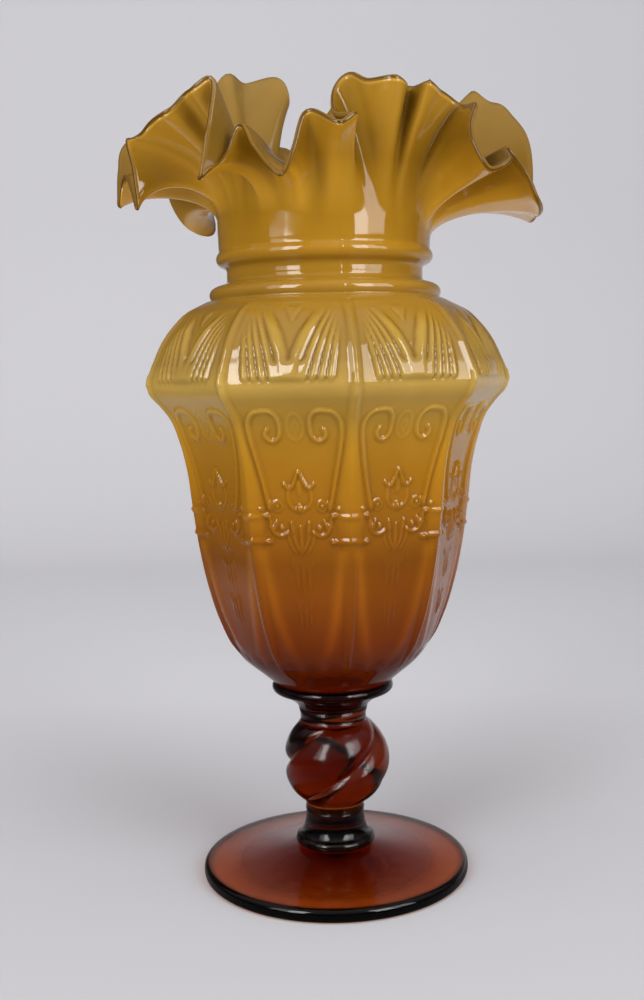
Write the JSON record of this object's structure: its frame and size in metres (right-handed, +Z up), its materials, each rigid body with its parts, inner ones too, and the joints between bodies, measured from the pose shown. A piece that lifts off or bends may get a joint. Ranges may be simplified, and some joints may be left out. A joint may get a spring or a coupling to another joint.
{
  "type": "vase",
  "caption": "Opaline glass vase with a panelled, ribbed bowl, a ringed neck and a deeply ruffled mouth, on a twisted knop stem and a disc foot",
  "frame": {"origin": "centre of the foot's flat underside, on the surface that the vase stands on", "axes": "+Z up along the stem, -Y the front as pictured, +X to the right in the picture"},
  "size_m": [0.1907, 0.1612, 0.3752],
  "materials": {
    "foot": "fire-polished clear amber glass",
    "foot_collar": "fire-polished clear amber glass",
    "twisted_knop": "fire-polished clear amber glass",
    "merese": "fire-polished clear amber glass",
    "amber_casing": "glossy mould-blown amber glass",
    "opal_lining": "milky opal glass, glossy"
  },
  "bodies": {
    "root": {"foot": "foot", "foot_collar": "foot_collar", "twisted_knop": "twisted_knop", "merese": "merese", "amber_casing": "amber_casing", "opal_lining": "opal_lining"}
  },
  "joints": []
}
